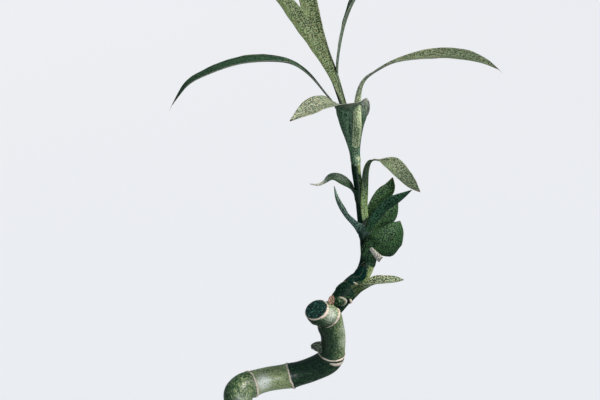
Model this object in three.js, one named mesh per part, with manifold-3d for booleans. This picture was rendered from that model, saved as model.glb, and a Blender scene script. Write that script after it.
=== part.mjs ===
// A lucky bamboo: one bent, ringed cane with a sealed top, a leafy shoot growing beside the cut,
// and a plain glass vase with pebbles and water that holds it upright.
// Millimetres, +Z up, front towards -Y. The vase stands on Z = 0 with its axis on the Z axis.
import * as THREE from 'three';
import { mergeVertices } from 'three/addons/utils/BufferGeometryUtils.js';
import Module from 'manifold-3d';

const wasm = await Module();
wasm.setup();

const GAP = 0.3;                 // left between pieces that touch
const WELD = 0.02;               // cut edges shorter than this are taken out of a solid

const VASE = { radius: 35, height: 105, wall: 2.5, floor: 6, lip: 1.2, heel: 2, sides: 48 };
const WATER = { bottom: 46, top: 75 };
const PEBBLES = {
  coreRadius: 25, coreTop: 38, top: 45.5, rows: 4, perRow: 13, onTop: 13, size: [5.8, 7.4], seed: 7,
};

// The cane's middle line from its foot to the cut. A point marked as a ring carries a leaf scar.
const CANE = {
  radius: 6.7,
  swell: { height: 0.5, reach: 3.2 },
  scar: { height: 0.35, half: 0.45 },
  sides: 12,
  route: [
    [2.4, 0.9, VASE.floor + 2 * GAP],
    [2.5, 1, 29, 'ring'],
    [2.5, 1, 54, 'ring'],
    [0, -1, 79, 'ring'],
    [-6.5, -4, 103.5, 'ring'],
    [-15.3, -8.5, 124, 'ring'],
    [-18.6, -10.5, 133.6],
    [-18.5, -9.8, 139.6],
    [-16, -6.5, 142.9],
    [-10.9, -2.8, 143.9, 'ring'],
    [-1.2, -0.8, 145.8],
    [10, 0, 147.4, 'ring'],
    [19.8, -0.7, 150.2],
    [28.3, -2.5, 154.5],
    [32, -4.3, 158.2],
    [33, -6.5, 162.6, 'ring'],
    [33.6, -11, 169.1],
    [32.7, -15.5, 176.5],
    [30.4, -20.2, 183.9, 'ring'],
    [25.4, -25.4, 186.2],
    [24.2, -27.4, 188.2],
  ],
};
const SEAL = { radius: 5.9, height: 1, rim: 0.3, sides: 24 };

// Sleeping buds on the cane: where, and how far they stand out along each direction.
const BUDS = [
  { at: [24.6, -23.6, 180.5], size: [2.2, 1.8, 2.4] },
  { at: [12.6, -2.5, 140.2], size: [2.6, 2, 1.5] },
  { at: [36, -20.5, 190.6], size: [3, 2, 2] },
];

const ROOTS = {
  count: 7, radius: 0.9, thinnest: 0.5, start: [63, 52], floor: 48.5, reach: [11, 24], collar: 1.9, seed: 3,
};

// The shoot's stem: middle line, and radius by height. It starts inside the cane and is cut back to it.
const SHOOT = {
  route: [
    [31, -20.6, 184.6],
    [33.5, -18.8, 187.6],
    [36.6, -16.7, 191.3],
    [40.2, -14, 195.5],
    [44.5, -12, 199.2],
    [48.7, -10, 203.9],
    [51.4, -8.5, 209.2],
    [52.6, -7.5, 214.3],
    [52, -6.8, 220.8],
    [50.7, -6.2, 227.9],
    [49.3, -5.5, 237.2],
    [48.4, -4.8, 245.3],
    [47.1, -4, 254.6],
    [46.1, -3.5, 261.7],
    [45.7, -3, 268.2],
    [44.6, -2.6, 276.4],
    [43.2, -2.3, 284.6],
    [41.1, -2, 293.3],
    [39.7, -2, 297.7],
  ],
  radii: [[185, 4.9], [192, 4.9], [198, 4.6], [203, 4.2], [214, 4.2], [220, 3.6], [228, 3], [237, 2.7],
    [246, 2.5], [268, 2.4], [277, 2.2], [285, 1.9], [293, 1.5], [297.7, 0.8]],
  sides: 12,
  steps: 34,
};

// A leaf clasps the stem between two heights on one side (degrees: 0 right, 90 back, 180 left, -90 front),
// then its blade runs on through hand-set stations: middle of the leaf, width across,
// how far it is rolled up (degrees), and the way its upper face looks.
const BLADE = { thickness: 0.6, across: 4, lengthStep: 8, fewestSteps: 9, clearance: 0.15, tip: 0.9 };
const LEAVES = [
  { name: 'foot_scale', colour: '#143029', side: -125, clasp: [194, 200], wrap: 190, blade: [
    [47.6, -15.2, 204.6, 9, 115, [0.1, 1, 0]],
    [49.5, -14.6, 208.4, 5, 80, [0.1, 1, 0]],
    [50, -14, 210.8, 1, 60, [0.1, 1, 0]],
  ] },
  { name: 'leaf_stub', colour: '#84907a', side: -20, clasp: [191, 197], wrap: 130, blade: [
    [55, -14.6, 200.6, 10, 90, [-0.3, -0.3, 1]],
    [61, -15.7, 202, 8, 70, [-0.1, -0.55, 1]],
    [66.8, -16, 202.4, 6.4, 60, [0, -0.55, 1]],
    [71.4, -16, 202.8, 1, 60, [0, -0.5, 1]],
  ] },
  { name: 'leaf_round', colour: '#304834', side: -48, clasp: [209, 212], wrap: 140, blade: [
    [56.4, -13.6, 216.3, 17, 115, [-0.4, 0.9, 0.2]],
    [60.6, -15.8, 219.9, 22.5, 80, [-0.35, 0.9, 0.15]],
    [63.8, -17, 223.7, 22, 65, [-0.35, 0.9, 0.1]],
    [66.3, -17.2, 227.6, 17, 55, [-0.35, 0.9, 0.1]],
    [68.1, -16.6, 231.4, 10.5, 45, [-0.3, 0.9, 0]],
    [69.6, -16, 234.8, 1, 40, [-0.3, 0.9, 0]],
  ] },
  { name: 'papery_scale', colour: '#cdc4b8', blade: [
    [51.2, -13.4, 222.8, 1, 40, [0.3, 0.9, 0.3]],
    [53.6, -15.3, 219.6, 3, 50, [0.3, 0.9, 0.3]],
    [56.4, -17, 216.3, 4.4, 50, [0.3, 0.9, 0.3]],
    [59, -18.2, 213.9, 2.6, 40, [0.3, 0.9, 0.3]],
  ] },
  { name: 'leaf_hidden', colour: '#26432c', side: 25, clasp: [219, 223], wrap: 90, blade: [
    [58.6, -3.5, 229.4, 12, 70, [-0.5, 0.8, 0.4]],
    [64.6, -3, 235.8, 14.5, 60, [-0.4, 0.8, 0.4]],
    [69.2, -2.5, 243.3, 1, 40, [-0.4, 0.8, 0.4]],
  ] },
  { name: 'leaf_dark', colour: '#1f3a28', side: -30, clasp: [223, 228], wrap: 100, blade: [
    [57.4, -9.8, 236, 9, 100, [-0.5, 0.8, 0.5]],
    [62.6, -11, 242.2, 9, 80, [-0.5, 0.75, 0.5]],
    [69, -12, 246.8, 7, 70, [-0.4, 0.6, 0.6]],
    [75.9, -13, 251.3, 1, 60, [-0.4, 0.5, 0.7]],
  ] },
  { name: 'leaf_pointed', colour: '#26432c', side: 15, clasp: [230, 234], wrap: 110, blade: [
    [55.7, -3.5, 240.8, 7.6, 80, [-0.5, -0.7, 0.4]],
    [60.7, -2, 247, 9.8, 50, [-0.4, -0.9, 0.3]],
    [64.5, -1, 251.6, 7.6, 40, [-0.3, -0.9, 0.3]],
    [66.3, 0, 257.4, 1, 30, [-0.3, -0.9, 0.3]],
  ] },
  { name: 'leaf_folded', colour: '#486a5c', side: -112, clasp: [223, 228], wrap: 110, blade: [
    [43.6, -11.3, 232.8, 7.5, 130, [0.6, 0.4, 0.7]],
    [38.3, -12, 239.6, 8, 130, [0.8, -0.1, 0.5]],
    [35.1, -12, 246.3, 5.5, 110, [0.9, -0.2, 0.4]],
    [33.9, -12, 253.4, 1, 80, [0.9, -0.2, 0.3]],
  ] },
  { name: 'leaf_curly', colour: '#485b4b', side: -160, clasp: [242, 249], wrap: 130, blade: [
    [42.2, -6.8, 252.6, 8.2, 90, [0.4, -0.4, 0.8]],
    [37.8, -8, 255.8, 9, 60, [0.1, -0.6, 0.8]],
    [32.8, -9, 257.4, 7.4, 60, [-0.2, -0.5, 0.9]],
    [29, -10, 255.2, 4, 70, [-0.4, -0.4, 0.9]],
    [25.2, -11, 253.8, 2.6, 70, [0, -0.4, 0.9]],
    [20.8, -11.5, 254.5, 1, 60, [0.2, -0.4, 0.9]],
  ] },
  { name: 'leaf_pale_right', colour: '#7d886f', side: -35, clasp: [232, 240], wrap: 150, blade: [
    [51.4, -7.9, 250, 7, 160, [-0.6, 0.7, 0.1]],
    [51.9, -8.6, 261, 6.4, 170, [-0.6, 0.7, 0.2]],
    [54, -10.5, 266.6, 4, 120, [-0.4, 0.3, 0.9]],
    [57.5, -14.4, 267.4, 2.6, 60, [0, -0.3, 1]],
    [63.6, -19, 265.8, 12.4, 40, [0.3, -0.6, 0.7]],
    [68.7, -23.5, 260.3, 12.6, 40, [0.5, -0.7, 0.5]],
    [73.8, -27.5, 255.2, 9, 40, [0.5, -0.7, 0.5]],
    [78.9, -30.5, 251.4, 1, 30, [0.5, -0.7, 0.5]],
  ] },
  { name: 'leaf_right', colour: '#626c4d', side: -60, clasp: [262, 272], wrap: 120, blade: [
    [46.3, -13, 284.8, 5.8, 120, [0, 1, 0.2]],
    [46.3, -14.8, 294.2, 5, 110, [-0.1, 1, 0.2]],
    [47.1, -15.4, 304.4, 3.2, 120, [-0.4, 0.8, 0.4]],
    [49.5, -15.6, 311.6, 2.8, 120, [-0.5, 0.4, 0.7]],
    [56.2, -16, 316.6, 3, 100, [-0.4, -0.1, 0.9]],
    [67, -17.2, 321.6, 5.6, 70, [-0.2, -0.4, 0.9]],
    [82, -19.8, 323.8, 12, 50, [-0.1, -0.5, 0.9]],
    [97, -23, 324, 12.6, 40, [0, -0.5, 0.9]],
    [110.5, -25.5, 320.6, 9.6, 40, [0.2, -0.45, 0.9]],
    [120.4, -27, 316, 1, 40, [0.3, -0.4, 0.9]],
  ] },
  { name: 'leaf_funnel', colour: '#95a086', side: -95, clasp: [262, 271], wrap: 200, blade: [
    [43.6, -9.6, 284.2, 16.5, 140, [0.05, 1, 0.2]],
    [43.6, -11.6, 291, 20, 110, [0, 1, 0.4]],
    [43.2, -13.2, 294.8, 21.5, 88, [0.05, 0.8, 0.8]],
    [36.6, -19, 298, 16, 55, [0.1, -0.1, 1]],
    [27, -28, 298, 12.5, 30, [0.2, -0.5, 0.9]],
    [19.6, -35, 295, 10, 30, [0.2, -0.6, 0.8]],
    [10.2, -42, 289, 1, 30, [0.1, -0.7, 0.7]],
  ] },
  { name: 'leaf_long_left', colour: '#3d5342', side: 180, clasp: [277, 283], wrap: 120, blade: [
    [34.4, -2.5, 296.3, 3.6, 110, [0.8, 0, 0.6]],
    [29.2, -2.8, 303.2, 3.2, 90, [0.75, -0.1, 0.7]],
    [19.7, -4.5, 313.9, 4.6, 80, [0.6, -0.3, 0.8]],
    [10, -7, 319.8, 7.4, 60, [0.3, -0.34, 1]],
    [-3.5, -11, 321, 12, 50, [0, -0.38, 1]],
    [-18, -14.5, 319, 13, 45, [-0.2, -0.38, 1]],
    [-33, -17, 313.4, 12.6, 40, [-0.3, -0.38, 1]],
    [-44.5, -18.5, 307.2, 8.6, 40, [-0.6, -0.4, 0.8]],
    [-53, -19, 297.2, 1, 40, [-0.8, -0.35, 0.5]],
  ] },
  { name: 'leaf_back_up', colour: '#737f58', side: 115, clasp: [281, 288], wrap: 130, blade: [
    [36.8, 3.6, 301, 5, 100, [0.4, -1, 0.3]],
    [31.6, 5.6, 314, 6.8, 70, [0.5, -0.9, 0.2]],
    [26.2, 7.6, 329, 9.8, 50, [0.5, -0.9, 0.2]],
    [20.4, 9, 347, 12.4, 45, [0.5, -0.9, 0.2]],
    [16.4, 8.4, 370, 12, 45, [0.5, -0.8, 0.2]],
    [13.2, 4.5, 394, 8, 40, [0.5, -0.8, 0]],
    [10.6, -1, 411, 1, 40, [0.5, -0.8, -0.2]],
  ] },
  { name: 'leaf_narrow_up', colour: '#606e62', side: 35, clasp: [282, 288], wrap: 120, blade: [
    [38.2, 2.4, 300.5, 5.4, 110, [-1, -0.2, 0.1]],
    [36.2, 3.8, 312, 5, 80, [-1, -0.1, 0]],
    [36.9, 5, 326, 7.5, 60, [-1, 0, 0]],
    [40.9, 8.5, 344.5, 10, 50, [-1, -0.05, 0.3]],
    [48.5, 13.5, 359.6, 11, 45, [-0.7, -0.2, 0.7]],
    [61.5, 21.5, 370.6, 11, 45, [-0.2, -0.2, 1]],
    [76, 28.5, 371.5, 8, 45, [0.2, -0.2, 1]],
    [88, 33, 364.3, 1, 45, [0.6, -0.2, 0.8]],
  ] },
  { name: 'leaf_broad_up', colour: '#6c7a57', side: -150, clasp: [285, 290], wrap: 130, blade: [
    [36.2, -3, 302.6, 6, 110, [0.8, -0.4, 0.3]],
    [31.5, -2.5, 314, 8.8, 80, [0.75, -0.55, 0.4]],
    [23, -1.5, 329.6, 13, 55, [0.6, -0.65, 0.5]],
    [12.6, -0.5, 345, 14.4, 45, [0.55, -0.6, 0.55]],
    [0.9, -1.5, 360, 11.4, 45, [0.5, -0.6, 0.6]],
    [-11, -4.5, 375.5, 1, 40, [0.4, -0.6, 0.7]],
  ] },
  { name: 'ring_scale', colour: '#8d7a6c', blade: [
    [27.5, -11.6, 165.4, 7, 60, [-0.1, -1, 0.1]],
    [24.6, -11.2, 165.6, 5.6, 60, [-0.1, -1, 0.1]],
    [22.8, -10.8, 165.5, 3.8, 50, [-0.1, -1, 0.1]],
    [21.4, -10.5, 165.2, 2, 40, [-0.1, -1, 0.1]],
  ] },
];

const COLOURS = {
  glass: '#dfe8e6',
  water: '#c9d9d3',
  pebble: '#a59d90',
  root: '#c0643a',
  cane: '#5f7051',
  seal: '#18352f',
  stem: '#4c6548',
  papery: '#cdbfae',
};

const UP = new THREE.Vector3(0, 0, 1);
const RIGHT = new THREE.Vector3(1, 0, 0);
const radians = THREE.MathUtils.degToRad;
const vector = (list) => new THREE.Vector3(list[0], list[1], list[2]);

// A seeded draw between 0 and 1.
function seededDraw(seed) {
  let state = seed * 2654435761 % 4294967296;
  return () => {
    state = (state * 1664525 + 1013904223) % 4294967296;
    return state / 4294967296;
  };
}

// The value at x of a line through [x, value] pairs.
function alongPairs(pairs, x) {
  const next = pairs.findIndex((pair) => pair[0] > x);
  if (next === 0) return pairs[0][1];
  if (next < 0) return pairs[pairs.length - 1][1];
  const [x0, v0] = pairs[next - 1];
  const [x1, v1] = pairs[next];
  return THREE.MathUtils.mapLinear(x, x0, x1, v0, v1);
}

function smoothCurve(route) {
  return new THREE.CatmullRomCurve3(route.map(vector), false, 'centripetal');
}

// Closed body through rings of points that all hold the same even number of points,
// listed so that the faces look out. Its two ends are zipped flat across.
// The second half of a ring is split the other way, so a thin blade's two faces are split alike.
function loftedBody(rings) {
  const count = rings[0].length;
  const half = count / 2;
  const positions = rings.flat().flatMap((point) => point.toArray());
  const index = [];
  for (let ring = 0; ring < rings.length - 1; ring += 1) {
    for (let i = 0; i < count; i += 1) {
      const a = ring * count + i;
      const b = ring * count + (i + 1) % count;
      const c = b + count;
      const d = a + count;
      if (i < half) index.push(a, b, c, a, c, d);
      else index.push(a, b, d, b, c, d);
    }
  }
  const last = (rings.length - 1) * count;
  for (let i = 0; i < half - 1; i += 1) {
    const j = count - 1 - i;
    index.push(i, j, i + 1, j, j - 1, i + 1);
    index.push(last + i, last + i + 1, last + j, last + j, last + i + 1, last + j - 1);
  }
  const geometry = new THREE.BufferGeometry();
  geometry.setAttribute('position', new THREE.Float32BufferAttribute(positions, 3));
  geometry.setIndex(index);
  return geometry;
}

// Frames that follow a line of points without twisting about it.
function followingFrames(points) {
  const tangents = points.map((_, i) => {
    const before = points[Math.max(i - 1, 0)];
    const after = points[Math.min(i + 1, points.length - 1)];
    return after.clone().sub(before).normalize();
  });
  const frames = [];
  let normal = RIGHT.clone();
  tangents.forEach((tangent) => {
    normal = normal.clone().addScaledVector(tangent, -normal.dot(tangent)).normalize();
    frames.push({ tangent, normal, side: tangent.clone().cross(normal) });
  });
  return frames;
}

// Round body along points, with a radius for each.
function roundLoft(points, radii, sides) {
  const frames = followingFrames(points);
  return loftedBody(points.map((point, ring) => Array.from({ length: sides }, (_, i) => {
    const angle = 2 * Math.PI * i / sides;
    return point.clone()
      .addScaledVector(frames[ring].normal, radii[ring] * Math.cos(angle))
      .addScaledVector(frames[ring].side, radii[ring] * Math.sin(angle));
  })));
}

function latheBody(profile, sides) {
  const outline = profile.map(([radius, height]) => new THREE.Vector2(radius, height));
  return new THREE.LatheGeometry(outline, sides).rotateX(Math.PI / 2);
}

function pill([sx, sy, sz], [x, y, z], detail) {
  return new THREE.IcosahedronGeometry(1, detail).scale(sx, sy, sz).translate(x, y, z);
}

function toSolid(geometry) {
  const bare = geometry.clone();
  bare.deleteAttribute('normal');
  bare.deleteAttribute('uv');
  const merged = mergeVertices(bare, 1e-4);
  return new wasm.Manifold(new wasm.Mesh({
    numProp: 3,
    vertProperties: merged.attributes.position.array,
    triVerts: new Uint32Array(merged.index.array),
  }));
}

// The largest body of a solid, without loose scraps and sealed hollows.
function largestBody(solid) {
  return solid.decompose().reduce((best, body) => (body.volume() > best.volume() ? body : best));
}

function toGeometry(solid) {
  const mesh = solid.simplify(WELD).getMesh();
  const geometry = new THREE.BufferGeometry();
  geometry.setAttribute('position', new THREE.BufferAttribute(Float32Array.from(mesh.vertProperties), 3));
  geometry.setIndex(Array.from(mesh.triVerts));
  return geometry;
}

// Welds and rounds a geometry and drops the triangles that this flattens.
function tidied(geometry) {
  const bare = geometry.index ? geometry.toNonIndexed() : geometry.clone();
  bare.deleteAttribute('normal');
  bare.deleteAttribute('uv');
  const merged = mergeVertices(bare, 1e-3);
  const spots = merged.attributes.position.array.map((value) => Math.round(value * 1e4) / 1e4);
  const index = Array.from(merged.index.array);
  const kept = [];
  for (let i = 0; i < index.length; i += 3) {
    const [a, b, c] = index.slice(i, i + 3);
    if (a !== b && b !== c && c !== a) kept.push(a, b, c);
  }
  const clean = new THREE.BufferGeometry();
  clean.setAttribute('position', new THREE.BufferAttribute(spots, 3));
  clean.setIndex(kept);
  return clean;
}

function vaseBody() {
  const { radius, height, wall, floor, lip, heel, sides } = VASE;
  const inner = radius - wall;
  return latheBody([
    [0, 0], [radius - heel, 0], [radius - heel * 0.3, heel * 0.3], [radius, heel],
    [radius, height - lip], [radius - lip * 0.5, height],
    [inner + lip * 0.5, height], [inner, height - lip],
    [inner, floor + heel], [inner - heel, floor], [0, floor],
  ], sides);
}

// The water above the pebbles as a plain round block.
function waterBody() {
  const { bottom, top } = WATER;
  const radius = VASE.radius - VASE.wall - 2 * GAP;
  return latheBody([[0, bottom], [radius, bottom], [radius, top], [0, top]], VASE.sides);
}

// Stations down the cane: a fill along its length, and a close set round each ring.
function caneStations() {
  const curve = smoothCurve(CANE.route);
  const samples = 600;
  const lengths = curve.getLengths(samples);
  const total = lengths[samples];
  const spans = CANE.route.length - 1;
  const rings = CANE.route
    .map((point, i) => (point[3] === 'ring' ? lengths[Math.round(samples * i / spans)] : null))
    .filter((length) => length !== null);
  const { reach } = CANE.swell;
  const { half } = CANE.scar;
  const stops = rings.flatMap((ring) => [-reach, -half, 0, half, reach].map((step) => ring + step));
  const fillStep = 5;
  for (let s = 0; s < total; s += fillStep) {
    if (rings.every((ring) => Math.abs(s - ring) > reach + fillStep * 0.4)) stops.push(s);
  }
  stops.push(total);
  stops.sort((a, b) => a - b);
  return { curve, total, rings, stops };
}

function caneRadius(length, rings) {
  const nearest = Math.min(...rings.map((ring) => Math.abs(length - ring)));
  const swell = CANE.swell.height * Math.exp(-((nearest / CANE.swell.reach) ** 2));
  return CANE.radius + swell + (nearest < CANE.scar.half / 2 ? CANE.scar.height : 0);
}

function caneLoft(extra) {
  const { curve, total, rings, stops } = caneStations();
  const points = stops.map((stop) => curve.getPointAt(stop / total));
  return roundLoft(points, stops.map((stop) => caneRadius(stop, rings) + extra), CANE.sides);
}

function caneBody(extra) {
  const buds = BUDS.map((bud) => toSolid(pill(bud.size.map((size) => size + extra), bud.at, 1)));
  return wasm.Manifold.union([toSolid(caneLoft(extra)), ...buds]);
}

// Wax disc laid on the cut, a little domed.
function sealBody() {
  const curve = smoothCurve(CANE.route);
  const { radius, height, rim } = SEAL;
  const profile = [[0, 0], [radius, 0], [radius, rim], [radius * 0.7, height * 0.8], [0, height]];
  const disc = latheBody(profile, SEAL.sides);
  const axis = curve.getTangentAt(1);
  const turn = new THREE.Quaternion().setFromUnitVectors(UP, axis);
  const place = curve.getPointAt(1).addScaledVector(axis, GAP);
  return disc.applyQuaternion(turn).translate(place.x, place.y, place.z);
}

// Pebbles in rows round a core and heaped on it.
// Each is moved until it meets the glass, the floor or the top.
function pebbleBody(caneHole) {
  const draw = seededDraw(PEBBLES.seed);
  const { coreRadius, coreTop, top, rows, perRow, onTop, size } = PEBBLES;
  const foot = VASE.floor + GAP;
  const glass = VASE.radius - VASE.wall - 2 * GAP;
  const grow = () => THREE.MathUtils.lerp(size[0], size[1], draw());
  const pebble = (angle, radius, height) => {
    const stone = pill([grow(), grow(), grow() * 0.8], [0, 0, 0], 0);
    stone.rotateX(draw() * Math.PI).rotateY(draw() * Math.PI);
    stone.computeBoundingBox();
    const { min, max } = stone.boundingBox;
    const out = Math.min(radius, glass - max.x);
    stone.translate(out, 0, THREE.MathUtils.clamp(height, foot - min.z, top - max.z));
    return toSolid(stone.rotateZ(angle));
  };
  const rowStep = (coreTop - foot) / rows;
  const rowStones = Array.from({ length: rows * perRow }, (_, i) => {
    const row = Math.floor(i / perRow);
    const angle = 2 * Math.PI * (i + (row % 2) / 2 + 0.3 * draw()) / perRow;
    return pebble(angle, coreRadius + size[1], foot + rowStep * (row + 0.5));
  });
  const goldenAngle = Math.PI * (3 - Math.sqrt(5));
  const topStones = Array.from({ length: onTop }, (_, i) => (
    pebble(goldenAngle * i, coreRadius * Math.sqrt((i + 0.5) / onTop), coreTop + 1.5)));
  const core = toSolid(latheBody([[0, foot], [coreRadius, foot], [coreRadius, coreTop], [0, coreTop]], 24));
  return wasm.Manifold.union([core, ...rowStones, ...topStones]).subtract(caneHole);
}

// Roots that spread from the cane's lower part and end over the pebbles.
function rootBodies(extra) {
  const draw = seededDraw(ROOTS.seed);
  const curve = smoothCurve(CANE.route);
  const caneAt = (height) => curve.getPoints(200).find((point) => point.z >= height);
  const { count, radius, thinnest, start, floor, reach } = ROOTS;
  const steps = 7;
  const roots = Array.from({ length: count }, (_, i) => {
    const angle = 2 * Math.PI * (i + 0.5 * draw()) / count;
    const out = new THREE.Vector3(Math.cos(angle), Math.sin(angle), 0);
    const height = THREE.MathUtils.lerp(start[0], start[1], draw());
    const far = THREE.MathUtils.lerp(reach[0], reach[1], draw());
    const root = caneAt(height);
    const bend = (share, z) => {
      const away = THREE.MathUtils.lerp(CANE.radius, far, share);
      return root.clone().addScaledVector(out, away).setZ(z);
    };
    const line = new THREE.CatmullRomCurve3([
      bend(-0.15, height + 1), bend(0.25, height), bend(0.7, (height + floor) / 2), bend(1, floor)]);
    const points = line.getPoints(steps);
    const radii = points.map((_point, k) => THREE.MathUtils.lerp(radius, thinnest, k / steps) + extra);
    return toSolid(roundLoft(points, radii, 6));
  });
  const collarFoot = start[1] - 1.5;
  const collarTop = start[0] + 1.5;
  const collarLine = [collarFoot, collarTop].map((height) => caneAt(height).setZ(height));
  const collarRadius = CANE.radius + ROOTS.collar + extra;
  const collar = toSolid(roundLoft(collarLine, [collarRadius, collarRadius], 16));
  return wasm.Manifold.union([collar, ...roots]);
}

const shootCurve = smoothCurve(SHOOT.route);
const shootSamples = shootCurve.getPoints(300);

// Middle of the shoot's stem at a height, and which way it runs there.
function shootAt(height) {
  const found = shootSamples.findIndex((point) => point.z >= height);
  const share = found / (shootSamples.length - 1);
  return { point: shootSamples[found].clone(), tangent: shootCurve.getTangent(share) };
}

function shootBody(extra) {
  const points = shootCurve.getSpacedPoints(SHOOT.steps);
  return roundLoft(points, points.map((point) => alongPairs(SHOOT.radii, point.z) + extra), SHOOT.sides);
}

// One row of numbers for a station of a leaf: place, width, roll and upper face.
function claspStation(leaf, height) {
  const { point, tangent } = shootAt(height);
  const across = RIGHT.clone().addScaledVector(tangent, -RIGHT.dot(tangent)).normalize();
  const back = tangent.clone().cross(across);
  const side = radians(leaf.side);
  const out = across.multiplyScalar(Math.cos(side)).addScaledVector(back, Math.sin(side));
  const radius = alongPairs(SHOOT.radii, height) + GAP + BLADE.clearance + BLADE.thickness / 2;
  const middle = point.addScaledVector(out, radius).toArray();
  return [...middle, radius * radians(leaf.wrap), leaf.wrap, ...out.negate().toArray()];
}

function leafStations(leaf) {
  const [from, to] = leaf.clasp ?? [];
  const heights = leaf.clasp ? [from, (from + to) / 2, to] : [];
  const blade = leaf.blade.map(([x, y, z, width, roll, face]) => [x, y, z, width, roll, ...face]);
  return [...heights.map((height) => claspStation(leaf, height)), ...blade];
}

// A smooth line through rows of numbers, at share 0 to 1 of the way.
function throughRows(rows, share) {
  const place = Math.min(share * (rows.length - 1), rows.length - 1 - 1e-9);
  const k = Math.floor(place);
  const t = place - k;
  const row = (i) => rows[Math.min(Math.max(i, 0), rows.length - 1)];
  return rows[0].map((_, column) => {
    const [p0, p1, p2, p3] = [row(k - 1), row(k), row(k + 1), row(k + 2)].map((values) => values[column]);
    const square = 2 * p0 - 5 * p1 + 4 * p2 - p3;
    const cube = 3 * p1 - p0 - 3 * p2 + p3;
    return 0.5 * (2 * p1 + (p2 - p0) * t + square * t ** 2 + cube * t ** 3);
  });
}

// A leaf as one thin shell: at each station an arc across, as wide as the leaf and rolled as told.
function leafBody(leaf, extra) {
  const rows = leafStations(leaf);
  const length = rows.slice(1).reduce((sum, row, i) => sum + vector(row).distanceTo(vector(rows[i])), 0);
  const steps = Math.max(BLADE.fewestSteps, Math.round(length / BLADE.lengthStep));
  const stations = Array.from({ length: steps + 1 }, (_, i) => throughRows(rows, i / steps));
  const middles = stations.map(vector);
  const half = BLADE.thickness / 2 + extra;
  return loftedBody(stations.map((station, i) => {
    const ahead = middles[Math.min(i + 1, steps)].clone().sub(middles[Math.max(i - 1, 0)]).normalize();
    const upper = vector(station.slice(5, 8));
    upper.addScaledVector(ahead, -upper.dot(ahead)).normalize();
    const across = upper.clone().cross(ahead);
    const width = Math.max(station[3], BLADE.tip) + 2 * extra;
    const roll = radians(station[4]);
    const radius = width / roll;
    const centre = middles[i].clone().addScaledVector(upper, radius)
      .addScaledVector(ahead, endShift(i, steps, extra));
    const at = (share, lift) => {
      const angle = roll * (share - 0.5);
      return centre.clone()
        .addScaledVector(upper, -(radius - lift) * Math.cos(angle))
        .addScaledVector(across, (radius - lift) * Math.sin(angle));
    };
    const shares = Array.from({ length: BLADE.across + 1 }, (_, k) => k / BLADE.across);
    const under = shares.map((share) => at(share, -half));
    return [...under, ...shares.reverse().map((share) => at(share, half))];
  }));
}

// A grown leaf also reaches past its two ends.
function endShift(station, steps, extra) {
  if (station === 0) return -extra;
  return station === steps ? extra : 0;
}

// Every leaf is cut clear of the stem and of the leaves before it.
function leafBodies(keepClear) {
  const taken = [...keepClear];
  return LEAVES.map((leaf) => {
    const body = taken.reduce((left, solid) => left.subtract(solid), toSolid(leafBody(leaf, 0)));
    taken.push(toSolid(leafBody(leaf, GAP)));
    return { name: leaf.name, solid: largestBody(body), colour: leaf.colour };
  });
}

const part = new THREE.Group();
part.name = 'lucky_bamboo';

function addPiece(name, geometry, finish) {
  const material = new THREE.MeshStandardMaterial({ metalness: 0, ...finish });
  const mesh = new THREE.Mesh(tidied(geometry), material);
  mesh.name = name;
  part.add(mesh);
}

const caneGrown = caneBody(GAP);
const rootsSolid = largestBody(rootBodies(0).subtract(caneGrown));
const rootsGrown = rootBodies(GAP);
const waterSolid = toSolid(waterBody()).subtract(caneGrown).subtract(rootsGrown);
const shootSolid = toSolid(shootBody(0)).subtract(caneGrown);
const clearGlass = { color: COLOURS.glass, roughness: 0.05, transparent: true, opacity: 0.35 };
const clearWater = { color: COLOURS.water, roughness: 0.02, transparent: true, opacity: 0.3 };
const pebblesSolid = largestBody(pebbleBody(caneGrown));

addPiece('vase', vaseBody(), clearGlass);
addPiece('water', toGeometry(largestBody(waterSolid)), clearWater);
addPiece('pebbles', toGeometry(pebblesSolid), { color: COLOURS.pebble, roughness: 0.6 });
addPiece('roots', toGeometry(rootsSolid), { color: COLOURS.root, roughness: 0.6 });
addPiece('cane', toGeometry(largestBody(caneBody(0))), { color: COLOURS.cane, roughness: 0.4 });
addPiece('cut_seal', sealBody(), { color: COLOURS.seal, roughness: 0.5 });
addPiece('shoot_stem', toGeometry(largestBody(shootSolid)), { color: COLOURS.stem, roughness: 0.45 });
leafBodies([toSolid(shootBody(GAP)), caneGrown]).forEach((leaf) => {
  addPiece(leaf.name, toGeometry(leaf.solid), { color: leaf.colour, roughness: 0.5 });
});

export default part;
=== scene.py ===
import math
import random

import bmesh
import bpy
import numpy as np
from mathutils import Matrix, Vector, noise


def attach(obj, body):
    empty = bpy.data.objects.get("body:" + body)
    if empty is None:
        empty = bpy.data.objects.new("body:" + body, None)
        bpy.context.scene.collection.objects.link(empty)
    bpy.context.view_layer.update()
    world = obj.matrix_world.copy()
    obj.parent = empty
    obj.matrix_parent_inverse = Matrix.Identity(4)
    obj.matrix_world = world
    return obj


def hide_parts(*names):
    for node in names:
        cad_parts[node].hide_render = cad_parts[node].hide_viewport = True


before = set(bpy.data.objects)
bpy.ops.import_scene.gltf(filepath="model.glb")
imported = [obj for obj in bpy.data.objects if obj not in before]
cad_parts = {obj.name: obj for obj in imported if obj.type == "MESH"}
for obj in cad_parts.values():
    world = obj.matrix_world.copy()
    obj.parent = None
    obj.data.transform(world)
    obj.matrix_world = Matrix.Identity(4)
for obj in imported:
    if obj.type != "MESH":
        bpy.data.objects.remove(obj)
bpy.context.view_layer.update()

# Lucky bamboo: a bent, ringed cane with a wax-sealed cut, a leafy side shoot, and a plain glass
# with pebbles and water. Lengths are millimetres until a mesh is written. The front looks to -Y.
mm = 0.001
upward = Vector((0, 0, 1))


def tint(code):
    # "#rrggbb" as the linear colour that a shader socket takes
    parts = [int(code[i:i + 2], 16) / 255 for i in (1, 3, 5)]
    return [c / 12.92 if c <= 0.04045 else ((c + 0.055) / 1.055) ** 2.4 for c in parts] + [1.0]


def lerp(a, b, share):
    return a + (b - a) * share


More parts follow.
